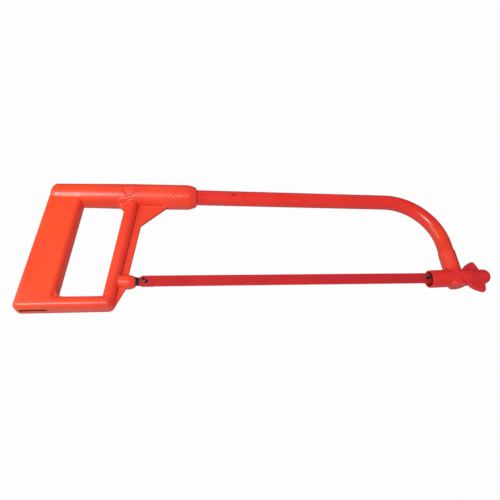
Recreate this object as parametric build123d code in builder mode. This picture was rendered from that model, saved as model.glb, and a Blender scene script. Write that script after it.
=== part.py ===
from build123d import *
import math
import os

# Insulated D-handle hacksaw with a round bent backbone, a 300 mm blade and a
# wing-nut tensioner at the front end.
#
# Frame, millimetres: +X runs along the blade from the handle to the wing nut,
# +Z points from the blade up to the backbone (teeth face down), and Y is
# across the saw. The origin is under the middle of the whole saw, on the
# level of the handle's foot, in the plane of the blade's holder-side face.
# Sizes named _X are measured from the blade's rear hole, heights from the
# blade's centre line. "Rear" is the handle end, "front" the wing-nut end.

# ------------------------------------------------------------ driving sizes
ORIGIN_X = -128.353      # blade's rear hole in the frame above
ORIGIN_Z = 29.2          # blade's centre line above the handle's foot
FIT = 0.02               # gap left round fixed, fitted parts

HOLE_SPACING = 300.0     # between the blade's two holes
BLADE_W = 12.3           # over the tooth tips
BLADE_T = 0.65
BLADE_END = 6.6          # from a hole's centre to the blade's end
HOLE_R = 2.0

PEG_R = 1.6              # inclined blade pegs
PEG_LEAN = math.radians(20.0)    # each peg leans away from the blade's middle
PEG_OUT = 7.0            # how far a peg stands out across the saw
PEG_IN = 3.6             # how deep a peg sits in its holder
HOLDER_R = 4.5           # round bar the two blade holders are made from

GRIP_HALF_T = 10.0       # half thickness of the grip and foot bar
POST_HALF_T = 9.0        # half thickness of the front post
FOOT_Z = -ORIGIN_Z       # underside of the handle
FOOT_BAR_TOP = -17.8
HANDLE_TOP = 99.0        # top of the post and web, inside the barrel

BARREL_Z = 103.6         # axis of the handle's top barrel
BARREL_R = 13.8
BARREL_REAR_X = -118.0   # before its rear end is cut to the grip's lean
BARREL_FRONT_X = 51.5

PIN_AT = (-21.0, 101.8)  # X and height of the cross pin through barrel and tube
PIN_R = 2.5
PIN_HALF = 9.6           # from the middle of the saw to either cap
CAP_PIN_R = 5.3          # caps over the pin

TUBE_TILT = math.radians(0.66)   # the backbone drops slightly to the front
TUBE_REF = (60.0, 103.4)         # a point on its straight axis, X and height
TUBE_R = 6.5             # steel tube
TUBE_BORE = 5.0
SLEEVE_R = 8.5           # insulating sleeve over the tube
BEND_R = 59.8            # centre-line radius of the front bend
LEG_X = 333.0            # axis of the down-turned leg
TUBE_REAR = -62.0
SLEEVE_REAR = -30.0
LEG_END = -8.2           # bottom of the steel tube
SLEEVE_END = 12.0        # bottom of the sleeve

BOSS_INSERT_X = -30.0    # rear end of the insert for the rear blade holder
BOSS_INSERT_R = 5.0
STEM_R = 3.0             # rear holder's stem, held in that insert
NECK_X = -14.0           # where the holder's full bar starts

TENSION_TILT = math.radians(2.0)  # the bolt axis rises towards the wing nut
TILT_X = 330.0           # where that axis crosses the blade line
BLOCK_X0 = 302.1         # open end of the front housing
BLOCK_X1 = 345.2
CHAMBER_R = 8.0
CHAMBER_X1 = 324.0
SHANK_R = 4.1
SHANK_BORE = 4.3
FLAT = 3.3               # half width across the bolt's flats
THREAD_R = 3.95

NUT_INSERT_X0 = 349.0    # threaded insert in the wing nut
NUT_INSERT_X1 = 366.0
NUT_INSERT_R = 6.2

# --------------------------------------------------------- reference planes
# local x = X, local y = Z, extrusions go towards -Y
SIDE = Plane(origin=(ORIGIN_X, 0, ORIGIN_Z), x_dir=(1, 0, 0), z_dir=(0, -1, 0))

# the same kind of plane along the tensioner's slightly raised axis
BOLT_DIR = (math.cos(TENSION_TILT), 0, math.sin(TENSION_TILT))
BOLT_O = (ORIGIN_X + TILT_X - TILT_X * BOLT_DIR[0], 0, ORIGIN_Z - TILT_X * BOLT_DIR[2])
BOLT_SIDE = Plane(origin=BOLT_O, x_dir=BOLT_DIR, z_dir=(0, -1, 0))
BOLT_AXIS = Axis(BOLT_O, BOLT_DIR)


def across(x):
    """Plane square to the blade at x, facing the front."""
    return Plane(origin=(ORIGIN_X + x, 0, ORIGIN_Z), x_dir=(0, 1, 0), z_dir=(1, 0, 0))


def level(z, x=0.0):
    """Horizontal plane z above the blade line, local origin at x."""
    return Plane(origin=(ORIGIN_X + x, 0, ORIGIN_Z + z), x_dir=(1, 0, 0), z_dir=(0, 0, 1))


def bolt_plane(x):
    """Plane square to the tensioner's axis, x along it, facing the wing nut."""
    return Plane(origin=(BOLT_O[0] + x * BOLT_DIR[0], 0, BOLT_O[2] + x * BOLT_DIR[2]),
                 x_dir=(0, 1, 0), z_dir=BOLT_DIR)


def bolt_station(p):
    """Distance of a point along the tensioner's axis."""
    return (p.X - BOLT_O[0]) * BOLT_DIR[0] + (p.Z - BOLT_O[2]) * BOLT_DIR[2]


def off_bolt_axis(p):
    """Distance of a point from the tensioner's axis."""
    up = -(p.X - BOLT_O[0]) * BOLT_DIR[2] + (p.Z - BOLT_O[2]) * BOLT_DIR[0]
    return math.hypot(p.Y, up)


def tube_z(x):
    """Height of the backbone's straight axis at x."""
    return TUBE_REF[1] - math.tan(TUBE_TILT) * (x - TUBE_REF[0])


def tube_plane(x):
    """Plane square to the backbone's straight run, facing the front."""
    return Plane(origin=(ORIGIN_X + x, 0, ORIGIN_Z + tube_z(x)), x_dir=(0, 1, 0),
                 z_dir=(math.cos(TUBE_TILT), 0, -math.sin(TUBE_TILT)))


REAR_PEG_DIR = (-math.sin(PEG_LEAN), -math.cos(PEG_LEAN), 0)
FRONT_PEG_DIR = (math.sin(PEG_LEAN), -math.cos(PEG_LEAN), 0)


def peg_plane(x, direction, back):
    """Plane square to a leaning peg, `back` mm behind the blade's holder side."""
    slant = back / math.cos(PEG_LEAN)
    return Plane(origin=(ORIGIN_X + x - direction[0] * slant, back, ORIGIN_Z),
                 x_dir=(0, 0, 1), z_dir=direction)


# X of the handle's leaning edges at height z
def rear_edge(z):
    """Grip's rear edge."""
    return -115.35 + 0.1196 * z


def eye_edge(z):
    """Grip's front edge, on the hand opening."""
    return -80.2 + 0.1170 * z


def post_rear(z):
    return -37.3 + 0.136 * z


def post_front(z):
    return -24.7 + 0.144 * z


# ----------------------------------------------------- shared part builders
def save(piece, name):
    piece.part.label = name
    export_step(piece.part, f"parts/{name}.step")


def backbone_line(rear, bottom):
    """Backbone's centre line from rear (X) round the bend to bottom (height)."""
    sin_tilt, cos_tilt = math.sin(TUBE_TILT), math.cos(TUBE_TILT)
    centre_x = LEG_X - BEND_R
    centre_z = tube_z(centre_x) - BEND_R / cos_tilt
    bend_start = (centre_x + BEND_R * sin_tilt, centre_z + BEND_R * cos_tilt)
    with BuildLine(SIDE) as spine:
        run = Line((rear, tube_z(rear)), bend_start)
        bend = JernArc(start=run @ 1, tangent=(cos_tilt, -sin_tilt), radius=BEND_R,
                       arc_size=-(90.0 - math.degrees(TUBE_TILT)))
        Line(bend @ 1, (LEG_X, bottom))
    return spine.wires()[0]


def blade_peg(x, direction, out):
    """Peg with a slimmer nose that leads a blade onto it."""
    nose_r = 1.4
    nose_at = 1.7            # along the peg from the blade's holder side
    with BuildPart() as peg:
        with BuildSketch(peg_plane(x, direction, PEG_IN)):
            Circle(PEG_R)
        extrude(amount=PEG_IN / math.cos(PEG_LEAN) + nose_at)
        with BuildSketch(peg_plane(x, direction, -nose_at * math.cos(PEG_LEAN))):
            Circle(nose_r)
        extrude(amount=out / math.cos(PEG_LEAN) - nose_at)
        fillet(edges().filter_by(GeomType.CIRCLE).sort_by(Axis.Y)[0], radius=0.7)
    return peg


def grooved_insert(plane_at, start, length, radius, bore, grooves, groove_w, groove_depth):
    """Bush with grooves that lock it in its moulding."""
    with BuildPart() as insert:
        with BuildSketch(plane_at(start)):
            Circle(radius)
            Circle(bore, mode=Mode.SUBTRACT)
        extrude(amount=length)
        for groove_x in grooves:
            with BuildSketch(plane_at(groove_x)):
                Circle(radius + 1)
                Circle(radius - groove_depth, mode=Mode.SUBTRACT)
            extrude(amount=groove_w, mode=Mode.SUBTRACT)
    return insert


os.makedirs("parts", exist_ok=True)

# -------------------------------------------------------------------- handle
GRIP_EDGE_R = 5.6        # rounding of the grip's upright edges
GRIP_FOOT_R = 4.5        # rounding round its underside
GRIP_TOP = 98.0
FOOT_BAR_X0 = eye_edge(FOOT_Z) - 9.5
FOOT_BAR_X1 = post_front(FOOT_Z) - 1.2
BARREL_REAR_R = 12.5
DOME_X = 41.0            # where the barrel's front rounding starts
BOSS_R = 7.3             # boss for the rear blade holder
BOSS_AXIS = -0.7         # its outside sits a little low round its bore
BOSS_X0 = -31.0
BOSS_X1 = -9.4
CAP_GAP = 0.08           # round the pin caps

# Grip: a broad upright slab, leaning back at the foot.
with BuildPart() as grip:
    for z in (FOOT_Z, GRIP_TOP):
        with BuildSketch(level(z)):
            with BuildLine():
                Polyline((rear_edge(z), -GRIP_HALF_T), (eye_edge(z), -GRIP_HALF_T),
                         (eye_edge(z), GRIP_HALF_T), (rear_edge(z), GRIP_HALF_T),
                         close=True)
            make_face()
            fillet(vertices().sort_by(Axis.X)[:2], radius=GRIP_EDGE_R)
            fillet(vertices().sort_by(Axis.X)[-4:].group_by(Axis.X)[-1], radius=GRIP_EDGE_R)
    loft(ruled=True)
    fillet(faces().sort_by(Axis.Z)[0].edges(), radius=GRIP_FOOT_R)

# Foot bar from the grip to the post, with the eye's rounded lower rear corner.
with BuildPart() as foot_bar:
    with BuildSketch(across(FOOT_BAR_X0)):
        with Locations((0, (FOOT_Z + FOOT_BAR_TOP) / 2)):
            RectangleRounded(2 * GRIP_HALF_T, FOOT_BAR_TOP - FOOT_Z, 4.6)
    extrude(amount=FOOT_BAR_X1 - FOOT_BAR_X0)
    fillet(faces().sort_by(Axis.X)[-1].edges(), radius=4.2)
    corner_top = FOOT_BAR_TOP + 7.2
    corner_mid = FOOT_BAR_TOP + 2.1
    corner_front = eye_edge(FOOT_BAR_TOP) + 7.6
    with BuildSketch(SIDE):
        with BuildLine():
            lead = Line((eye_edge(corner_top) - 2.0, corner_top),
                        (eye_edge(corner_top), corner_top))
            curve = ThreePointArc(lead @ 1, (eye_edge(corner_mid) + 2.1, corner_mid),
                                  (corner_front, FOOT_BAR_TOP))
            Polyline(curve @ 1, (corner_front, FOOT_BAR_TOP - 3.0),
                     (eye_edge(FOOT_BAR_TOP) - 2.0, FOOT_BAR_TOP - 3.0), lead @ 0)
        make_face()
    extrude(amount=7.4, both=True)

# Front post: an oval column leaning like the grip.
with BuildPart() as post:
    with BuildSketch(SIDE):
        with BuildLine():
            Polyline((post_rear(FOOT_Z), FOOT_Z), (post_front(FOOT_Z), FOOT_Z),
                     (post_front(HANDLE_TOP), HANDLE_TOP),
                     (post_rear(HANDLE_TOP), HANDLE_TOP), close=True)
        make_face()
        # lower front corner
        fillet(vertices().sort_by(Axis.Y)[0:2].sort_by(Axis.X)[1], radius=3.6)
    extrude(amount=POST_HALF_T, both=True)
    long_edges = [e for e in edges()
                  if abs(abs(e.center().Y) - POST_HALF_T) < 0.01 and e.length > 60]
    fillet(long_edges, radius=6.1)

# Top barrel that takes the backbone, turned about its own axis.
with BuildPart() as barrel:
    with BuildSketch(SIDE):
        with BuildLine():
            Polyline((BARREL_REAR_X, BARREL_Z),
                     (BARREL_REAR_X, BARREL_Z + BARREL_REAR_R - 0.15),
                     (-20.0, BARREL_Z + BARREL_R), (DOME_X, BARREL_Z + BARREL_R))
            dome = Spline((DOME_X, BARREL_Z + BARREL_R), (47.6, BARREL_Z + 12.3),
                          (BARREL_FRONT_X, BARREL_Z + 9.3), tangents=[(1, 0), (0.22, -1)])
            Polyline(dome @ 1, (BARREL_FRONT_X, BARREL_Z), (BARREL_REAR_X, BARREL_Z))
        make_face()
    revolve(axis=Axis((ORIGIN_X, 0, ORIGIN_Z + BARREL_Z), (1, 0, 0)))
    # rear end follows the grip's leaning rear edge
    with BuildSketch(SIDE):
        with BuildLine():
            Polyline((rear_edge(80.0) + 0.5, 80.0), (rear_edge(125.0) + 0.5, 125.0),
                     (-130.0, 125.0), (-130.0, 80.0), close=True)
        make_face()
    extrude(amount=20, both=True, mode=Mode.SUBTRACT)
    fillet(faces().sort_by(Axis.X)[0].edges(), radius=6.3)

# web outline, X and height: thin plate in front of the post, with the big
# gusset under the barrel and the small one under the boss
WEB = [
    (post_rear(FOOT_Z + 1) + 6, FOOT_Z + 0.6), (post_front(FOOT_Z) + 0.3, FOOT_Z + 0.6),
    (-19.6, -10.0), (-17.4, -5.0), (-17.4, 4.0), (-7.8, 64.6),
    (22.4, 91.3), (22.4, HANDLE_TOP), (post_rear(HANDLE_TOP) + 5, HANDLE_TOP),
]

with BuildPart() as handle:
    add(grip)
    add(foot_bar)
    add(post)
    add(barrel)
    with BuildSketch(SIDE):
        with BuildLine():
            Polyline(*WEB, close=True)
        make_face()
    extrude(amount=1.5, both=True)
    # boss that holds the rear blade holder
    boss_top = BOSS_R + BOSS_AXIS
    with BuildSketch(SIDE):
        with BuildLine():
            back = Polyline((BOSS_X0, BOSS_AXIS), (BOSS_X0, boss_top), (-16.6, boss_top))
            nose = Spline(back @ 1, (-12.4, boss_top - 1.0), (BOSS_X1, boss_top - 3.4),
                          tangents=[(1, 0), (0.3, -1)])
            Polyline(nose @ 1, (BOSS_X1, BOSS_AXIS), (BOSS_X0, BOSS_AXIS))
        make_face()
    revolve(axis=Axis((ORIGIN_X, 0, ORIGIN_Z + BOSS_AXIS), (1, 0, 0)))
    # rounding in the eye's top front corner, where post and barrel meet
    corner_rear = post_rear(90.8) - 11.5
    with BuildSketch(SIDE):
        with BuildLine():
            lead = Line((post_rear(80.0) + 2.5, 80.0), (post_rear(80.0), 80.0))
            curve = ThreePointArc(lead @ 1, (post_rear(87.3) - 3.2, 87.3),
                                  (corner_rear, 90.8))
            Polyline(curve @ 1, (post_rear(96.0) - 11.5, 96.0),
                     (post_rear(96.0) + 3.0, 96.0), lead @ 0)
        make_face()
    extrude(amount=4.4, both=True)
    # blind slot in the underside of the grip
    with BuildSketch(level(FOOT_Z - 1.0, -101.2)):
        SlotOverall(24.5, 4.6)
    extrude(amount=13.0, mode=Mode.SUBTRACT)
    # bores for the sleeved tube
    for bore_x, bore_r, bore_length in ((SLEEVE_REAR, SLEEVE_R, 100.0),
                                        (TUBE_REAR, TUBE_R, 60.0)):
        with BuildSketch(tube_plane(bore_x - FIT)):
            Circle(bore_r + FIT)
        extrude(amount=bore_length, mode=Mode.SUBTRACT)
    # cross pin bore and the two recesses that its caps close
    with BuildSketch(SIDE.offset(-20)):
        with Locations(PIN_AT):
            Circle(PIN_R + FIT)
    extrude(amount=40.0, mode=Mode.SUBTRACT)
    for side in (1, -1):
        with BuildSketch(SIDE.offset(side * PIN_HALF)):
            with Locations(PIN_AT):
                Circle(CAP_PIN_R + CAP_GAP)
        extrude(amount=side * 10.0, mode=Mode.SUBTRACT)
    # bore for the insert in the boss, and clearance for the holder's neck
    with BuildSketch(across(BOSS_INSERT_X - FIT)):
        Circle(BOSS_INSERT_R + FIT)
    extrude(amount=17.0, mode=Mode.SUBTRACT)
    with BuildSketch(across(NECK_X)):
        Circle(HOLDER_R + FIT)
    extrude(amount=10.0, mode=Mode.SUBTRACT)
save(handle, "handle")

# --------------------------------------------------------- backbone assembly
tube_path = backbone_line(TUBE_REAR, LEG_END)
with BuildPart() as back_tube:
    with BuildSketch(tube_plane(TUBE_REAR)):
        Circle(TUBE_R)
        Circle(TUBE_BORE, mode=Mode.SUBTRACT)
    sweep(path=tube_path)
    # cross pin bore
    with BuildSketch(SIDE.offset(-20)):
        with Locations(PIN_AT):
            Circle(PIN_R + FIT)
    extrude(amount=40.0, mode=Mode.SUBTRACT)
    # draw bolt bore through the leg
    with BuildSketch(bolt_plane(LEG_X - 12)):
        Circle(SHANK_BORE)
    extrude(amount=24.0, mode=Mode.SUBTRACT)
save(back_tube, "back_tube")

sleeve_path = backbone_line(SLEEVE_REAR, SLEEVE_END)
with BuildPart() as tube_sleeve:
    with BuildSketch(tube_plane(SLEEVE_REAR)):
        Circle(SLEEVE_R)
        Circle(TUBE_R + FIT, mode=Mode.SUBTRACT)
    sweep(path=sleeve_path)
    with BuildSketch(SIDE.offset(-20)):
        with Locations(PIN_AT):
            Circle(PIN_R + FIT)
    extrude(amount=40.0, mode=Mode.SUBTRACT)
save(tube_sleeve, "tube_sleeve")

# moulded plug that closes the tube's rear end
with BuildPart() as tube_plug:
    with BuildSketch(tube_plane(TUBE_REAR)):
        Circle(TUBE_BORE - FIT)
    extrude(amount=9.0)
    chamfer(faces().sort_by(Axis.X)[-1].edges(), length=0.8)
save(tube_plug, "tube_plug")

# cross pin locking the tube in the handle
with BuildPart() as handle_pin:
    with BuildSketch(SIDE):
        with Locations(PIN_AT):
            Circle(PIN_R)
    extrude(amount=PIN_HALF - 0.1, both=True)
    chamfer(edges().filter_by(GeomType.CIRCLE), length=0.4)
save(handle_pin, "handle_pin")

# insulating caps over both ends of the cross pin, nearly flush with the barrel
CAP_PROUD = 0.12
with BuildPart() as pin_caps:
    for side in (1, -1):
        with BuildSketch(SIDE.offset(side * PIN_HALF)):
            with Locations(PIN_AT):
                Circle(CAP_PIN_R)
        extrude(amount=side * 8.0)
    with BuildSketch(across(PIN_AT[0] - 10)):
        with Locations((0, BARREL_Z)):
            Circle(BARREL_R + CAP_PROUD)
    extrude(amount=20.0, mode=Mode.INTERSECT)
save(pin_caps, "pin_caps")

# ------------------------------------------------------- rear blade fixing
boss_insert = grooved_insert(across, BOSS_INSERT_X, length=15.5, radius=BOSS_INSERT_R,
                             bore=STEM_R + FIT, grooves=(-26.5, -20.5),
                             groove_w=1.6, groove_depth=0.6)
save(boss_insert, "boss_insert")

with BuildPart() as rear_holder:
    with BuildSketch(across(NECK_X + FIT)):
        Circle(HOLDER_R)
    extrude(amount=20.5 - FIT)
    # flat that backs the blade
    with BuildSketch(SIDE.offset(-FIT)):
        with Locations((3.3, 0)):
            Rectangle(25.4, 12.0)
    extrude(amount=8.0, mode=Mode.SUBTRACT)
    # stem
    with BuildSketch(across(-29.5)):
        Circle(STEM_R)
    extrude(amount=16.0)
    # peg hole
    with BuildSketch(peg_plane(0.0, REAR_PEG_DIR, PEG_IN)):
        Circle(PEG_R + FIT)
    extrude(amount=14.0, mode=Mode.SUBTRACT)
save(rear_holder, "rear_holder")

rear_peg = blade_peg(0.0, REAR_PEG_DIR, PEG_OUT)
save(rear_peg, "rear_peg")

# --------------------------------------------------------------------- blade
TOOTH_PITCH = 25.4 / 24
TOOTH_X0 = 9.0
TOOTH_N = 268
TIP_Z = -BLADE_W / 2
ROOT_Z = TIP_Z + 0.72    # bottom of the gaps between teeth
PLAIN_Z = TIP_Z + 0.12   # plain edge beyond the teeth
TOOTH_X1 = TOOTH_X0 + TOOTH_N * TOOTH_PITCH
REAR_END = -BLADE_END
FRONT_END = HOLE_SPACING + BLADE_END

teeth = []
for i in range(TOOTH_N):
    x = TOOTH_X0 + i * TOOTH_PITCH
    teeth += [(x, ROOT_Z), (x + TOOTH_PITCH * 0.86, TIP_Z)]

with BuildPart() as blade:
    with BuildSketch(SIDE):
        with BuildLine():
            Polyline(
                (REAR_END, -1.9), (REAR_END + 1.0, -4.6), (REAR_END + 3.0, PLAIN_Z),
                (TOOTH_X0 - 1.2, PLAIN_Z), *teeth,
                (TOOTH_X1, ROOT_Z), (TOOTH_X1 + 1.2, PLAIN_Z),
                (FRONT_END - 3.0, PLAIN_Z), (FRONT_END - 1.0, -4.6), (FRONT_END, -1.9),
                (FRONT_END, 1.9), (FRONT_END - 1.0, 4.6), (FRONT_END - 3.0, BLADE_W / 2),
                (REAR_END + 3.0, BLADE_W / 2), (REAR_END + 1.0, 4.6), (REAR_END, 1.9),
                close=True)
        make_face()
        with Locations((0, 0), (HOLE_SPACING, 0)):
            Circle(HOLE_R, mode=Mode.SUBTRACT)
    extrude(amount=BLADE_T)
save(blade, "blade")

# --------------------------------------------------------- front tensioner
# housing: a cylinder along the bolt crossed by an upright collar for the leg
BLOCK_R = 9.6
COLLAR_R = 9.3
COLLAR_TOP = 33.0
COLLAR_FOOT = -9.9
with BuildPart() as front_block:
    with BuildSketch(bolt_plane(BLOCK_X0)):
        Circle(BLOCK_R)
    extrude(amount=BLOCK_X1 - BLOCK_X0)
    fillet(faces().sort_by(Axis.X)[-1].edges(), radius=0.8)
    with BuildSketch(level(COLLAR_FOOT, LEG_X)):
        Circle(COLLAR_R)
    extrude(amount=COLLAR_TOP - COLLAR_FOOT)
    top_rim = faces().sort_by(Axis.Z)[-1].edges()
    chamfer(top_rim, length=1.4, length2=0.75)
    foot_rim = [e for e in edges() if abs(e.center().Z - (ORIGIN_Z + COLLAR_FOOT)) < 0.01]
    fillet(foot_rim, radius=0.6)
    # chamber, open towards the handle
    with BuildSketch(bolt_plane(BLOCK_X0)):
        Circle(CHAMBER_R)
    extrude(amount=CHAMBER_X1 - BLOCK_X0, mode=Mode.SUBTRACT)
    # bolt bore
    with BuildSketch(bolt_plane(CHAMBER_X1 - 1)):
        Circle(SHANK_BORE)
    extrude(amount=30.0, mode=Mode.SUBTRACT)
    # socket for the sleeved tube, and the tube's own seat below it
    for seat_z, seat_r, seat_height in ((SLEEVE_END, SLEEVE_R, 40.0),
                                        (LEG_END, TUBE_R, 30.0)):
        with BuildSketch(level(seat_z - FIT, LEG_X)):
            Circle(seat_r + FIT)
        extrude(amount=seat_height, mode=Mode.SUBTRACT)
    mouth = [e for e in edges().filter_by(GeomType.CIRCLE)
             if abs(bolt_station(e.center()) - BLOCK_X0) < 0.01]
    fillet(mouth, radius=0.45)
save(front_block, "front_block")

# steel bush that keeps the draw bolt from turning
BUSH_X0 = 317.0
with BuildPart() as guide_bush:
    with BuildSketch(bolt_plane(BUSH_X0)):
        Circle(CHAMBER_R - FIT)
    extrude(amount=CHAMBER_X1 - FIT - BUSH_X0)
    with BuildSketch(bolt_plane(BUSH_X0 - 1)):
        Circle(SHANK_R + 0.06)
        Rectangle(2 * SHANK_R + 2, 2 * (FLAT + 0.05), mode=Mode.INTERSECT)
    extrude(amount=CHAMBER_X1 - BUSH_X0 + 2, mode=Mode.SUBTRACT)
save(guide_bush, "guide_bush")

# draw bolt: blade holder at its rear, flatted shank, threaded front end
HOOK_X0 = 294.4
HOOK_X1 = 309.5
SHOULDER_X0 = HOOK_X1 - 1.6
SHOULDER_X1 = HOOK_X1 + 2.0
SHOULDER_R = 6.4
FLATS_X1 = 335.0
ROCK_R = 5.6             # rounded end of the holder, about its peg
THREAD_ROOT = 3.30
THREAD_PITCH = 1.25
THREAD_X0 = 347.0
BOLT_X1 = 366.0
with BuildPart() as draw_bolt:
    with BuildSketch(bolt_plane(HOOK_X0)):
        Circle(HOLDER_R)
    extrude(amount=HOOK_X1 - HOOK_X0)
    # flat behind the blade, relieved beyond the peg so that the blade can tilt
    with BuildSketch(level(0)):
        with BuildLine():
            Polyline((HOOK_X0 - 1, -8), (HOOK_X0 - 1, FIT), (HOLE_SPACING + 0.2, FIT),
                     (SHOULDER_X0, 0.9), (SHOULDER_X0, -8), close=True)
        make_face()
    extrude(amount=8.0, both=True, mode=Mode.SUBTRACT)
    # rounded end that the blade rocks round
    with BuildSketch(level(0)):
        with Locations((HOLE_SPACING - 3.5, 2.75)):
            Rectangle(7.0, 6.5)
        with Locations((HOLE_SPACING, 0)):
            Circle(ROCK_R, mode=Mode.SUBTRACT)
    extrude(amount=8.0, both=True, mode=Mode.SUBTRACT)
    # shoulder
    with BuildSketch(bolt_plane(SHOULDER_X0)):
        Circle(SHOULDER_R)
    extrude(amount=SHOULDER_X1 - SHOULDER_X0)
    # shank with two flats
    with BuildSketch(bolt_plane(HOOK_X1)):
        Circle(SHANK_R)
    extrude(amount=THREAD_X0 - HOOK_X1)
    for side in (1, -1):
        with BuildSketch(bolt_plane(SHOULDER_X1)):
            with Locations((0, side * (FLAT + 2.0))):
                Rectangle(12.0, 4.0)
        extrude(amount=FLATS_X1 - SHOULDER_X1, mode=Mode.SUBTRACT)
    # threaded end, drawn as closed grooves at the thread's pitch
    thread = [(THREAD_X0 - 0.5, 0), (THREAD_X0 - 0.5, THREAD_ROOT)]
    x = THREAD_X0
    while x < BOLT_X1 - 1.3:
        thread += [(x, THREAD_ROOT), (x + THREAD_PITCH * 0.44, THREAD_R),
                   (x + THREAD_PITCH * 0.56, THREAD_R)]
        x += THREAD_PITCH
    thread += [(x, THREAD_ROOT), (BOLT_X1, THREAD_ROOT - 0.5), (BOLT_X1, 0)]
    with BuildSketch(BOLT_SIDE):
        with BuildLine():
            Polyline(*thread, close=True)
        make_face()
    revolve(axis=BOLT_AXIS)
    # peg hole
    with BuildSketch(peg_plane(HOLE_SPACING, FRONT_PEG_DIR, PEG_IN)):
        Circle(PEG_R + FIT)
    extrude(amount=(PEG_IN + PEG_OUT + 2) / math.cos(PEG_LEAN), mode=Mode.SUBTRACT)
save(draw_bolt, "draw_bolt")

front_peg = blade_peg(HOLE_SPACING, FRONT_PEG_DIR, PEG_OUT - 0.6)
save(front_peg, "front_peg")

with BuildPart() as thrust_washer:
    with BuildSketch(bolt_plane(BLOCK_X1 + FIT)):
        Circle(7.5)
        Circle(SHANK_BORE, mode=Mode.SUBTRACT)
    extrude(amount=1.2)
    chamfer(edges().filter_by(GeomType.CIRCLE).sort_by(SortBy.RADIUS)[-2:], length=0.2)
save(thrust_washer, "thrust_washer")

# wing nut moulding: hub, closed cap and two wings
NUT_X0 = BLOCK_X1 + 0.25
RECESS_X1 = BLOCK_X1 + 1.3 + FIT     # end of the recess over the washer
HUB_R = 9.2
CAP_R = 8.2
CAP_X1 = 375.0
WING_ANGLE = 4.0         # degrees about the bolt, from upright
# a wing's curved outline: distance along the bolt's axis, distance from it
WING_EDGE = [
    (349.2, 13.5), (353.4, 16.1), (357.9, 18.1), (360.5, 18.6),
    (362.8, 17.3), (364.1, 13.8), (365.3, 8.0),
]
with BuildPart() as wing_nut:
    with BuildSketch(BOLT_SIDE):
        with BuildLine():
            hub = Polyline((NUT_X0, 0), (NUT_X0, HUB_R - 0.3), (NUT_X0 + 0.4, HUB_R),
                           (349.5, HUB_R), (357.0, CAP_R), (CAP_X1 - CAP_R, CAP_R))
            cap = RadiusArc(hub @ 1, (CAP_X1, 0), CAP_R)
            Line(cap @ 1, hub @ 0)
        make_face()
    revolve(axis=BOLT_AXIS)
    # one wing in each direction, in a plane turned about the bolt
    for turn in (0, 180):
        angle = math.radians(WING_ANGLE + turn)
        normal = (-math.sin(angle) * BOLT_DIR[2], -math.cos(angle),
                  math.sin(angle) * BOLT_DIR[0])
        with BuildSketch(Plane(origin=BOLT_O, x_dir=BOLT_DIR, z_dir=normal)):
            with BuildLine():
                root = Polyline((348.6, 4.0), (346.4, 9.0))
                edge = Spline(root @ 1, *WING_EDGE, tangents=[(0.2, 1), (0.1, -1)])
                Polyline(edge @ 1, (365.0, 4.0), (348.6, 4.0))
            make_face()
        extrude(amount=2.4, both=True)
    rims = [e for e in edges() if off_bolt_axis(e.center()) > 11.5]
    fillet(rims, radius=1.3)
    # recess over the washer, run-out for the bolt's end, seat for the insert
    with BuildSketch(bolt_plane(NUT_X0 - 1)):
        Circle(7.8)
    extrude(amount=RECESS_X1 - (NUT_X0 - 1), mode=Mode.SUBTRACT)
    with BuildSketch(bolt_plane(NUT_X0)):
        Circle(4.6)
    extrude(amount=371.0 - NUT_X0, mode=Mode.SUBTRACT)
    with BuildSketch(bolt_plane(NUT_INSERT_X0 - FIT)):
        Circle(NUT_INSERT_R + FIT)
    extrude(amount=NUT_INSERT_X1 - NUT_INSERT_X0 + 2 * FIT, mode=Mode.SUBTRACT)
save(wing_nut, "wing_nut")

nut_insert = grooved_insert(bolt_plane, NUT_INSERT_X0, length=NUT_INSERT_X1 - NUT_INSERT_X0,
                            radius=NUT_INSERT_R, bore=THREAD_R + 0.06,
                            grooves=(353.0, 360.0), groove_w=1.8, groove_depth=0.7)
save(nut_insert, "nut_insert")
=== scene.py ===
"""A small hacksaw with moulded red plastic parts: materials, floor, lights and camera.

Metres. x runs along the blade from the handle at the rear (-x) to the front block (+x),
z is up from the floor, and the side facing the camera is -y.
"""
from functools import cached_property, reduce
import math
import bpy
from mathutils import Matrix, Vector

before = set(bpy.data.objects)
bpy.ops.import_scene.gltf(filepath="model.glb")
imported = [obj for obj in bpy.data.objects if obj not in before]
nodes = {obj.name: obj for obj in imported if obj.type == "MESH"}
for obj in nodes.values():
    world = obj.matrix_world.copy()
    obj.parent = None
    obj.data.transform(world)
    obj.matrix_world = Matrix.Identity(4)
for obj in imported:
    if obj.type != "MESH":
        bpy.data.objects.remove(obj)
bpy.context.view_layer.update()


scene = bpy.context.scene

# Centre of the blade's rear hole: most places are measured from it
HOLE_X, HOLE_Z = -0.128353, 0.0292
HOLE_PITCH = 0.300                # rear hole to front hole


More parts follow.
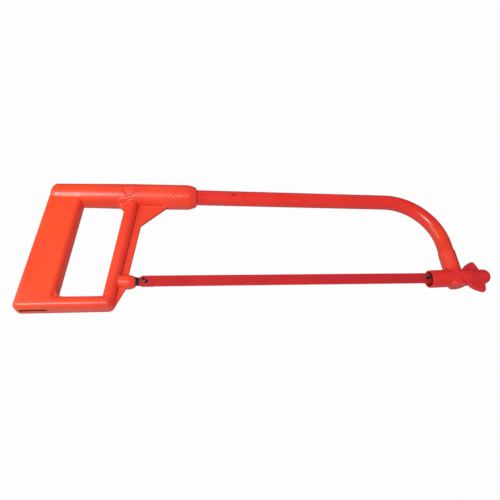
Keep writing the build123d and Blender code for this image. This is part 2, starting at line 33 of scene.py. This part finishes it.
# ------------------------------------------------------------------ node helpers
class Nodes:
    """The emptied node tree of a material or world, with short ways to add nodes."""

    def __init__(self, owner):
        owner.use_nodes = True
        self.tree = owner.node_tree
        self.tree.nodes.clear()

    def put(self, socket, value):
        """Link a socket, or set a plain value; a three-part colour gets full alpha."""
        if isinstance(value, bpy.types.NodeSocket):
            self.tree.links.new(value, socket)
        elif socket.type == "RGBA" and len(value) == 3:
            socket.default_value = (*value, 1.0)
        else:
            socket.default_value = value

    def add(self, kind, inputs={}, **settings):
        """Add a node; inputs maps an input's index or name to a value or a socket."""
        node = self.tree.nodes.new(kind)
        for key, value in settings.items():
            setattr(node, key, value)
        for key, value in inputs.items():
            self.put(node.inputs[key], value)
        return node

    def calc(self, operation, *values):
        inputs = dict(enumerate(values))
        return self.add("ShaderNodeMath", inputs, operation=operation).outputs[0]

    def fold(self, operation, values):
        return reduce(lambda a, b: self.calc(operation, a, b), values)

    def times(self, *values):
        return self.fold("MULTIPLY", values)

    def plus(self, *values):
        return self.fold("ADD", values)

    def largest(self, *values):
        return self.fold("MAXIMUM", values)

    def minus(self, a, b):
        return self.calc("SUBTRACT", a, b)

    def ramp(self, value, start, end, low=0.0, high=1.0, smooth=True):
        """low at start, high at end, held level beyond them."""
        inputs = dict(enumerate((value, start, end, low, high)))
        kind = "SMOOTHSTEP" if smooth else "LINEAR"
        return self.add("ShaderNodeMapRange", inputs, interpolation_type=kind).outputs[0]

    def fall(self, value, start, end):
        return self.ramp(value, start, end, low=1.0, high=0.0)

    def mix(self, color, toward, mask, strength=None, blend="MIX"):
        """Blend color toward another where mask is 1, at most by strength if given."""
        amount = mask if strength is None else self.times(mask, strength)
        inputs = {0: amount, 6: color, 7: toward}
        return self.add("ShaderNodeMix", inputs, data_type="RGBA", blend_type=blend).outputs[2]

    def split(self, vector):
        return self.add("ShaderNodeSeparateXYZ", {0: vector}).outputs


class Surface(Nodes):
    """A procedural material patterned in object coordinates."""

    def __init__(self, name):
        self.material = bpy.data.materials.new(name)
        super().__init__(self.material)
        self.coords = self.add("ShaderNodeTexCoord").outputs["Object"]

    @cached_property
    def geometry(self):
        return self.add("ShaderNodeNewGeometry").outputs

    def finish(self, inputs):
        shader = self.add("ShaderNodeBsdfPrincipled", inputs)
        self.add("ShaderNodeOutputMaterial", {0: shader.outputs[0]})
        return self.material

    def calc(self, operation, first, second=0.0):
        """Every unused input is set to zero, the third one too."""
        return super().calc(operation, first, second, 0.0)

    def size(self, value):
        return self.calc("ABSOLUTE", value)

    def below(self, value, limit):
        return self.calc("LESS_THAN", value, limit)

    def above(self, value, limit):
        return self.calc("GREATER_THAN", value, limit)

    def distance(self, dx, dz):
        return self.calc("SQRT", self.plus(self.times(dx, dx), self.times(dz, dz)))

    def xyz(self):
        return self.split(self.coords)

    def noise(self, scale, detail=3.0, rough=0.55, stretch=None, distort=0.0):
        vector = self.coords
        if stretch:
            inputs = {"Vector": self.coords, "Scale": stretch}
            vector = self.add("ShaderNodeMapping", inputs).outputs[0]
        return self.add("ShaderNodeTexNoise", {
            "Vector": vector, "Scale": scale, "Detail": detail,
            "Roughness": rough, "Distortion": distort}).outputs["Fac"]

    def scratches(self, scale, stretch, start, end):
        """Thin streaks: stretched noise cut off sharply, black at start and white at end."""
        streaks = self.noise(scale, detail=2.0, rough=0.5, stretch=stretch, distort=0.4)
        node = self.add("ShaderNodeValToRGB", {0: streaks})
        for position, grey in ((start, 0.0), (end, 1.0)):
            node.color_ramp.elements.new(position).color = (grey, grey, grey, 1)
        return node.outputs[0]

    def bump(self, height, distance, strength, normal=None):
        inputs = {"Height": height, "Distance": distance, "Strength": strength}
        if normal is not None:
            inputs["Normal"] = normal
        return self.add("ShaderNodeBump", inputs).outputs[0]

    def turned_away(self, start, end):
        """0 where a surface faces the eye, 1 where it turns away."""
        weight = self.add("ShaderNodeLayerWeight", {"Blend": 0.5})
        return self.ramp(weight.outputs["Facing"], start, end)

    def line(self, x0, z0, x1, z1, half_width):
        """1 along a short line on the -y side, given from the blade's rear hole."""
        x0, z0, x1, z1 = HOLE_X + x0, HOLE_Z + z0, HOLE_X + x1, HOLE_Z + z1
        x, y, z = self.xyz()
        length = math.hypot(x1 - x0, z1 - z0)
        ux, uz = (x1 - x0) / length, (z1 - z0) / length
        dx, dz = self.minus(x, x0), self.minus(z, z0)
        along = self.plus(self.times(dx, ux), self.times(dz, uz))
        across = self.plus(self.times(dx, -uz), self.times(dz, ux))
        body = self.times(self.fall(self.size(across), start=0.0, end=half_width),
                          self.ramp(along, start=0.0, end=length * 0.25))
        tail = self.times(self.fall(along, start=length * 0.75, end=length),
                          self.below(y, 0.0))
        return self.times(body, tail)


def scaled(color, factor):
    return tuple(min(1.0, factor * c) for c in color)


# ---------------------------------------------------------------------- plastics
def plastic(name, base, deep, pale, rough, peel=1.0, part_line=False, detail=None,
            specular=0.36, worn=1.0):
    """Insulating plastic: slow colour drift, fine orange peel, rubbed edges with a painted
    highlight, hairline scratches and painted shade in the concave corners."""
    tree = Surface(name)
    drift = tree.noise(scale=22.0)
    mottle = tree.noise(scale=260.0, rough=0.6)
    color = tree.mix(base, deep, tree.ramp(drift, start=0.35, end=0.68))
    color = tree.mix(color, pale, tree.ramp(mottle, start=0.45, end=0.75, high=0.16 * worn))

    # convex edges paled in patches, partly wear and partly a painted highlight; concave
    # corners get painted shade
    point = tree.geometry["Pointiness"]
    wear_and_glint = tree.noise(scale=420.0, detail=4.0, rough=0.7)
    edge = tree.times(tree.ramp(point, start=0.51, end=0.56),
                      tree.ramp(wear_and_glint, start=0.35, end=0.6, low=0.15 * worn, high=0.8 * worn))
    corner = tree.ramp(point, start=0.49, end=0.445)
    color = tree.mix(color, pale, edge, strength=0.45)
    # painted shade: concave corners darkened toward the deep colour
    color = tree.mix(color, scaled(deep, 0.55), corner, strength=0.5)

    # hairline scratches in patches, along x and along z
    streaks = tree.largest(
        tree.scratches(scale=900.0, stretch=(0.05, 0.9, 1.0), start=0.69, end=0.73),
        tree.scratches(scale=700.0, stretch=(0.8, 0.9, 0.06), start=0.71, end=0.75))
    patch = tree.ramp(tree.noise(scale=38.0, detail=2.0), start=0.5, end=0.62)
    scratch = tree.times(streaks, patch)
    color = tree.mix(color, pale, scratch, strength=0.25 * worn)

    gloss_drift = tree.noise(scale=55.0, detail=4.0, rough=0.6)
    roughness = tree.plus(
        tree.ramp(gloss_drift, start=0.3, end=0.7, low=rough - 0.04, high=rough + 0.07,
                  smooth=False),
        tree.times(scratch, 0.2 * worn),
        tree.times(edge, 0.10))

    # orange peel, broad waviness, then the scratches cut in
    fine = tree.noise(scale=1500.0, detail=2.0, rough=0.5)
    coarse = tree.noise(scale=420.0, detail=2.0, rough=0.5)
    waves = tree.noise(scale=95.0, detail=1.0, rough=0.4)
    fullness = min(1.0, peel * 2.0)
    normal = tree.bump(tree.plus(fine, tree.times(coarse, 1.6)),
                       distance=0.000022 * peel, strength=0.30 * fullness)
    normal = tree.bump(waves, distance=0.00020 * peel, strength=0.45 * fullness,
                       normal=normal)
    normal = tree.bump(tree.times(scratch, -1.0), distance=0.00003 * worn,
                       strength=0.6 * worn, normal=normal)
    if part_line:
        # a fine raised line round the middle plane, y = 0
        band = tree.fall(tree.size(tree.xyz()[1]), start=0.00012, end=0.00030)
        normal = tree.bump(band, distance=0.00012, strength=0.8, normal=normal)
        color = tree.mix(color, pale, band, strength=0.22)
    if detail:
        color, roughness, normal = detail(tree, color, roughness, normal)

    # painted shade: surfaces turning away from the eye are darkened toward the deep colour
    color = tree.mix(color, scaled(deep, 0.42), tree.turned_away(start=0.62, end=0.95),
                     strength=0.52)
    return tree.finish({"Base Color": color, "Roughness": roughness, "Normal": normal,
                        "IOR": 1.47, "Specular IOR Level": specular})


# Short flow marks on the top of the handle, from the blade's rear hole, drawn with painted
# light:
# x and z of the start, x and z of the end, half width
# painted shade: a dark groove line
SUNK_LINE = (0.0240, 0.0992, 0.0312, 0.0932, 0.00052)
# painted highlights: pale lines along the flow marks, the last two along the crease where the
# post meets the barrel
PALE_LINES = (
    (0.0215, 0.0993, 0.0288, 0.0932, 0.00055),
    (0.0262, 0.0966, 0.0376, 0.0960, 0.00062),
    (0.0392, 0.0966, 0.0432, 0.0966, 0.00055),
    (-0.0322, 0.0924, -0.0285, 0.0943, 0.00050),
    (-0.0295, 0.0941, -0.0222, 0.0944, 0.00050),
)
# Slot in the handle's foot
SLOT_X = HOLE_X - 0.1012
SLOT_HALF_LENGTH, SLOT_HALF_WIDTH = 0.0125, 0.00262
SLOT_BOTTOM, SLOT_TOP = 0.00003, 0.0145


def foot_slot_shade(tree):
    """Mask of painted shade: 1 inside the slot, fading toward its mouth at the floor."""
    x, y, z = tree.xyz()
    return tree.times(tree.below(tree.size(tree.minus(x, SLOT_X)), SLOT_HALF_LENGTH),
                      tree.below(tree.size(y), SLOT_HALF_WIDTH),
                      tree.ramp(z, start=0.00001, end=0.00160, low=0.35),
                      tree.below(z, SLOT_TOP),
                      tree.above(z, SLOT_BOTTOM))


def web_rim_shade(tree):
    """Mask of painted shade on the narrow edge of the handle's web that faces the front,
    strongest near its top.
    """
    x, y, z = tree.xyz()
    normal_x, normal_y, _ = tree.split(tree.geometry["Normal"])
    return tree.times(tree.ramp(tree.size(normal_y), start=0.75, end=0.45),
                      tree.above(normal_x, 0.25),
                      tree.below(tree.size(y), 0.0019),
                      tree.above(x, HOLE_X - 0.0180),
                      tree.above(z, HOLE_Z + 0.009),
                      tree.below(z, HOLE_Z + 0.0895),
                      tree.ramp(z, start=HOLE_Z + 0.060, end=HOLE_Z + 0.064,
                                low=0.35, high=0.80))


def handle_detail(tree, color, roughness, normal):
    """Painted shade redder toward the front, flow marks drawn with painted highlights and a
    painted shaded groove, and painted shade in the foot slot and on the web rim.
    """
    # painted shade: the front of the handle is tinted redder, as its less lit parts look
    front = tree.ramp(tree.xyz()[0], start=HOLE_X - 0.100, end=HOLE_X - 0.035)
    color = tree.mix(color, (0.965, 0.79, 1.10), front, blend="MULTIPLY")
    sunk_shade = tree.line(*SUNK_LINE)
    raised_highlight = tree.largest(*(tree.line(*line) for line in PALE_LINES))
    normal = tree.bump(tree.minus(raised_highlight, sunk_shade), distance=0.00030, strength=0.9,
                       normal=normal)
    # painted highlight on the pale lines, painted shade in the sunk line
    color = tree.mix(color, (0.98, 0.42, 0.28), raised_highlight, strength=0.62)
    color = tree.mix(color, (0.42, 0.020, 0.015), sunk_shade, strength=0.55)
    slot = foot_slot_shade(tree)
    # painted shade: the slot is darkened, most deeply inside
    color = tree.mix(color, (0.17, 0.003, 0.002), slot, strength=0.94)
    roughness = tree.plus(roughness, tree.times(slot, 0.5))
    # painted shade on the web's front edge
    color = tree.mix(color, (0.16, 0.008, 0.006), web_rim_shade(tree))
    return color, roughness, normal


# Dark specks on the sleeve, from the blade's rear hole: x, z, radius
SPECKS = (
    (0.0909, 0.10275, 0.00165),
    (0.09415, 0.10268, 0.00170),
    (0.1033, 0.1047, 0.00150),
)


def sleeve_detail(tree, color, roughness, normal):
    """Small dark specks on the -y side, and a painted orange reflection on the lower end of
    the front bend.
    """
    x, y, z = tree.xyz()

    def speck(speck_x, speck_z, radius):
        away = tree.distance(tree.minus(x, HOLE_X + speck_x),
                             tree.minus(z, HOLE_Z + speck_z))
        return tree.times(tree.fall(away, start=radius * 0.4, end=radius),
                          tree.below(y, 0.0))

    specks = tree.largest(*(speck(*row) for row in SPECKS))
    color = tree.mix(color, (0.15, 0.006, 0.005), specks, strength=0.88)
    # painted reflection: orange light from the nearby parts on the bend's lower end
    low_end_reflection = tree.times(tree.ramp(x, start=HOLE_X + 0.300, end=HOLE_X + 0.325),
                         tree.ramp(z, start=HOLE_Z + 0.090, end=HOLE_Z + 0.045))
    color = tree.mix(color, (1.0, 1.55, 1.12), low_end_reflection, blend="MULTIPLY")
    return color, roughness, normal


def block_detail(tree, color, roughness, normal):
    """Painted light: the collar at the top is tinted more orange where it faces the rear,
    toward the left light, not where it faces the front.
    """
    collar = tree.ramp(tree.xyz()[2], start=HOLE_Z + 0.006, end=HOLE_Z + 0.013)
    normal_x = tree.split(tree.geometry["Normal"])[0]
    lit_rearward = tree.ramp(normal_x, start=0.55, end=-0.15)
    # painted light: orange tint on the rear-facing side of the collar
    color = tree.mix(color, (1.13, 2.05, 1.35), collar, strength=lit_rearward, blend="MULTIPLY")
    return color, roughness, normal


HANDLE = plastic(
    "handle_plastic", base=(0.84, 0.073, 0.012), deep=(0.79, 0.057, 0.012),
    pale=(0.95, 0.15, 0.055), rough=0.34, peel=0.7, part_line=True,
    detail=handle_detail, specular=0.72, worn=0.25)
CAPS = plastic(
    "cap_plastic", base=(0.84, 0.068, 0.018), deep=(0.78, 0.053, 0.017),
    pale=(0.95, 0.14, 0.06), rough=0.34)
SLEEVE = plastic(
    "sleeve_plastic", base=(0.69, 0.036, 0.020), deep=(0.65, 0.030, 0.019),
    pale=(0.84, 0.08, 0.05), rough=0.20, peel=0.10,
    detail=sleeve_detail, specular=0.50, worn=0.12)
BLOCK = plastic(
    "block_plastic", base=(0.66, 0.028, 0.021), deep=(0.61, 0.024, 0.020),
    pale=(0.84, 0.09, 0.06), rough=0.25, peel=0.3, part_line=True,
    detail=block_detail, specular=0.5, worn=0.4)
NUT = plastic(
    "nut_plastic", base=(0.57, 0.025, 0.023), deep=(0.52, 0.022, 0.021),
    pale=(0.76, 0.08, 0.06), rough=0.27, peel=0.3, part_line=True,
    specular=0.42, worn=0.6)


# ------------------------------------------------------------------------ metals
def blade_paint():
    """Satin crimson enamel over brushed steel, with bare metal starting to show
    on the tooth tips and round the holes."""
    tree = Surface("blade_paint")
    x, _, z = tree.xyz()
    grain = tree.noise(scale=1600.0, rough=0.6, stretch=(0.02, 1.0, 1.0))
    cloud = tree.noise(scale=60.0, rough=0.6)
    color = tree.mix((0.50, 0.018, 0.018), (0.45, 0.016, 0.017),
                     tree.ramp(cloud, start=0.35, end=0.7))
    color = tree.mix(color, (0.62, 0.06, 0.06),
                     tree.ramp(grain, start=0.5, end=0.75, high=0.20))

    height = tree.minus(z, HOLE_Z)
    chip = tree.noise(scale=1400.0, rough=0.7)
    tips = tree.times(tree.ramp(height, start=-0.00545, end=-0.0061),
                      tree.ramp(chip, start=0.50, end=0.60))
    rings = tree.largest(*(
        tree.fall(tree.distance(tree.minus(x, hole_x), height), start=0.0021, end=0.0034)
        for hole_x in (HOLE_X, HOLE_X + HOLE_PITCH)))
    bare = tree.largest(
        tree.times(tips, 0.55),
        tree.times(rings, tree.ramp(chip, start=0.52, end=0.62, high=0.8)))
    color = tree.mix(color, (0.42, 0.40, 0.39), bare)

    waves = tree.bump(tree.noise(scale=140.0, detail=2.0), distance=0.00006, strength=0.4)
    return tree.finish({
        "Base Color": color,
        "Metallic": tree.times(bare, 0.9),
        "Roughness": tree.ramp(grain, start=0.3, end=0.7, low=0.36, high=0.46, smooth=False),
        "Normal": tree.bump(grain, distance=0.00002, strength=0.5, normal=waves),
        "Specular IOR Level": 0.35})


def metal(name, color, metallic, rough, worn, spread=0.08, grain=(0.06, 1.0, 1.0),
          nose_highlight=False):
    """Metal with fine grain, patchy roughness and edges rubbed to the worn colour."""
    tree = Surface(name)
    streaks = tree.noise(scale=2600.0, rough=0.6, stretch=grain)
    patch = tree.noise(scale=240.0, detail=4.0, rough=0.65)
    dark, light = scaled(color, 0.62), scaled(color, 1.5)
    color = tree.mix(color, dark, tree.ramp(patch, start=0.35, end=0.7))
    color = tree.mix(color, light, tree.ramp(streaks, start=0.5, end=0.8, high=0.25))
    edge = tree.times(tree.ramp(tree.geometry["Pointiness"], start=0.52, end=0.60),
                      tree.ramp(tree.noise(scale=1300.0), start=0.4, end=0.6, low=0.1))
    color = tree.mix(color, worn, edge, strength=0.6)
    if nose_highlight:
        # painted highlight: a bright band near the -y end
        band = tree.times(tree.ramp(tree.xyz()[1], start=-0.0033, end=-0.0038),
                          tree.fall(tree.xyz()[1], start=-0.0047, end=-0.0052))
        color = tree.mix(color, (0.55, 0.55, 0.56), band,
                         strength=tree.ramp(patch, start=0.3, end=0.6, low=0.6))
    return tree.finish({
        "Base Color": color,
        "Metallic": metallic,
        "Roughness": tree.ramp(patch, start=0.3, end=0.7, low=rough - spread,
                               high=rough + spread, smooth=False),
        "Normal": tree.bump(streaks, distance=0.00002, strength=0.5)})


BLADE = blade_paint()
BLACK = metal("black_oxide", color=(0.022, 0.022, 0.024), metallic=0.35, rough=0.40,
              worn=(0.20, 0.20, 0.20))
PEG = metal("peg_black", color=(0.020, 0.020, 0.022), metallic=0.35, rough=0.34,
            worn=(0.22, 0.22, 0.22), grain=(1.0, 0.06, 1.0), nose_highlight=True)
STEEL = metal("bright_steel", color=(0.52, 0.53, 0.54), metallic=1.0, rough=0.30,
              worn=(0.75, 0.75, 0.75))
BRASS = metal("turned_brass", color=(0.72, 0.50, 0.20), metallic=1.0, rough=0.28,
              worn=(0.85, 0.68, 0.35), spread=0.07, grain=(1.0, 0.06, 0.06))

# ------------------------------------------------------------------------ pieces
# piece: material, slot
LOOKS = {
    "handle": (HANDLE, "handle_plastic"),
    "pin_caps": (CAPS, "handle_plastic"),
    "tube_plug": (HANDLE, "handle_plastic"),
    "tube_sleeve": (SLEEVE, "sleeve_plastic"),
    "front_block": (BLOCK, "block_plastic"),
    "wing_nut": (NUT, "nut_plastic"),
    "blade": (BLADE, "blade_paint"),
    "rear_holder": (BLACK, "black_steel"),
    "rear_peg": (PEG, "black_steel"),
    "draw_bolt": (BLACK, "black_steel"),
    "front_peg": (BLACK, "black_steel"),
    "back_tube": (STEEL, "steel"),
    "handle_pin": (STEEL, "steel"),
    "guide_bush": (STEEL, "steel"),
    "thrust_washer": (STEEL, "steel"),
    "boss_insert": (BRASS, "brass"),
    "nut_insert": (BRASS, "brass"),
}
for name, (material, slot) in LOOKS.items():
    piece = nodes[name]
    piece.data.materials.clear()
    piece.data.materials.append(material)


def soften(name, voxel, rounds):
    """One dense even skin, with the sharp inner corners eased as a mould eases them."""
    skin = nodes[name].modifiers.new("skin", "REMESH")
    skin.mode = "VOXEL"
    skin.voxel_size = voxel
    skin.use_smooth_shade = True
    ease = nodes[name].modifiers.new("ease", "SMOOTH")
    ease.factor = 0.5
    ease.iterations = rounds


soften("handle", voxel=0.00042, rounds=18)
soften("tube_sleeve", voxel=0.00050, rounds=8)
soften("front_block", voxel=0.00028, rounds=4)
soften("wing_nut", voxel=0.00026, rounds=5)


# ------------------------------------------------------------------------- floor
def floor_paper():
    """Pale paper that fades out with distance; only the camera sees it, from above."""
    material = bpy.data.materials.new("floor_paper")
    tree = Nodes(material)
    diffuse = tree.add("ShaderNodeBsdfDiffuse", {"Color": (0.77, 0.97, 0.81)})
    glow = tree.add("ShaderNodeEmission", {"Color": (0.97, 0.97, 0.98), "Strength": 0.42})
    paper = tree.add("ShaderNodeAddShader", {0: diffuse.outputs[0], 1: glow.outputs[0]})
    clear = tree.add("ShaderNodeBsdfTransparent")
    coords = tree.add("ShaderNodeTexCoord").outputs["Object"]
    distance = tree.add("ShaderNodeVectorMath", {0: coords}, operation="LENGTH")
    camera_ray = tree.add("ShaderNodeLightPath").outputs["Is Camera Ray"]
    hidden = tree.largest(
        tree.add("ShaderNodeNewGeometry").outputs["Backfacing"],
        tree.minus(1.0, camera_ray),
        tree.ramp(distance.outputs["Value"], start=0.55, end=2.2))
    shader = tree.add("ShaderNodeMixShader",
                      {0: hidden, 1: paper.outputs[0], 2: clear.outputs[0]})
    tree.add("ShaderNodeOutputMaterial", {0: shader.outputs[0]})
    return material


def add_object(name, data):
    item = bpy.data.objects.new(name, data)
    scene.collection.objects.link(item)
    return item


HALF = 4.0                        # half the floor's side
mesh = bpy.data.meshes.new("floor")
mesh.from_pydata([(-HALF, -HALF, 0), (HALF, -HALF, 0), (HALF, HALF, 0), (-HALF, HALF, 0)],
                 [], [(0, 1, 2, 3)])
add_object("floor", mesh)
mesh.materials.append(floor_paper())


# ------------------------------------------------------------------------- world
def studio():
    """A plain pale backdrop for the camera, and a graded room for everything else."""
    world = bpy.data.worlds.new("studio")
    scene.world = world
    tree = Nodes(world)
    x, y, z = tree.split(tree.add("ShaderNodeTexCoord").outputs["Generated"])
    path = tree.add("ShaderNodeLightPath").outputs
    glossy = path["Is Glossy Ray"]

    def grade(value, start, end, low, high):
        return tree.ramp(value, start, end, low, high, smooth=False)

    # soft light: brighter from +x, a little brighter from -y, dimmer from above
    soft = tree.times(grade(x, start=-0.9, end=0.9, low=0.98, high=1.30),
                      tree.times(grade(y, start=-0.8, end=0.8, low=0.66, high=0.60),
                                 grade(z, start=-0.2, end=1.0, low=1.0, high=0.55)))
    # sheen: pale from below, from -x and from +y, dark from above and from +x
    low_left = tree.plus(tree.times(x, -0.55), tree.times(z, -0.83))
    sheen = tree.plus(
        tree.times(grade(low_left, start=-0.35, end=0.60, low=0.03, high=0.42),
                   grade(y, start=-0.6, end=0.4, low=0.35, high=1.0)),
        grade(y, start=0.15, end=0.75, low=0.0, high=0.22))
    strength = tree.plus(tree.times(sheen, glossy),
                         tree.times(soft, tree.minus(1.0, glossy)))
    # soft light is warm from -x and magenta from +x; the sheen is warm all round
    side = grade(x, start=-0.7, end=0.8, low=0.0, high=1.0)
    color = tree.mix((1.0, 0.96, 0.86), (1.0, 0.56, 1.00), side)
    color = tree.mix(color, (1.0, 0.95, 0.88), glossy)

    room = tree.add("ShaderNodeBackground", {"Color": color, "Strength": strength})
    backdrop = tree.add("ShaderNodeBackground",
                        {"Color": (0.982, 0.982, 0.990), "Strength": 1.0})
    shader = tree.add("ShaderNodeMixShader", {
        0: path["Is Camera Ray"], 1: room.outputs[0], 2: backdrop.outputs[0]})
    tree.add("ShaderNodeOutputWorld", {0: shader.outputs[0]})


studio()

# ------------------------------------------------------------------------ lights
LIGHT_TARGET = Vector((0.0, 0.0, 0.08))


def softbox(name, place, size, power, color=(1, 1, 1)):
    """A rectangular area light aimed at the middle of the saw, unseen by the camera."""
    light = bpy.data.lights.new(name, "AREA")
    light.shape = "RECTANGLE"
    light.size, light.size_y = size
    light.energy = power
    light.color = color
    lamp = add_object(name, light)
    lamp.location = place
    aim = LIGHT_TARGET - Vector(place)
    lamp.rotation_euler = aim.to_track_quat("-Z", "Y").to_euler()
    lamp.visible_camera = False


softbox("key", place=(-0.62, -1.25, -0.30), size=(0.28, 0.28), power=10.6)
softbox("left", place=(-1.30, -0.70, 0.05), size=(0.9, 0.9), power=6.1,
        color=(1.0, 0.95, 0.85))
softbox("top", place=(0.10, -0.60, 1.20), size=(1.2, 1.0), power=1.0)

# ------------------------------------------------------------------------ camera
# Below the saw on the -y side, looking up at it; angles in radians
CAMERA_PLACE = (HOLE_X + 0.038901, -0.404772, HOLE_Z - 0.194139)
YAW, PITCH, ROLL = 0.167154, 0.510657, 0.082932

forward = Vector((math.sin(YAW) * math.cos(PITCH), math.cos(YAW) * math.cos(PITCH),
                  math.sin(PITCH)))
level_right = Vector((math.cos(YAW), -math.sin(YAW), 0.0))
level_down = forward.cross(level_right)
right = math.cos(ROLL) * level_right + math.sin(ROLL) * level_down
down = -math.sin(ROLL) * level_right + math.cos(ROLL) * level_down
camera = add_object("camera", bpy.data.cameras.new("camera"))
turn = Matrix((right, -down, -forward)).transposed()
camera.matrix_world = Matrix.Translation(CAMERA_PLACE) @ turn.to_4x4()
camera.data.sensor_width = 36.0   # millimetres, as is the lens
camera.data.lens = 31.68
camera.data.clip_start = 0.01
camera.data.clip_end = 50.0
scene.camera = camera
scene.view_settings.view_transform = "Standard"
scene.view_settings.look = "None"
scene.view_settings.exposure = 0.0
scene.view_settings.gamma = 1.0
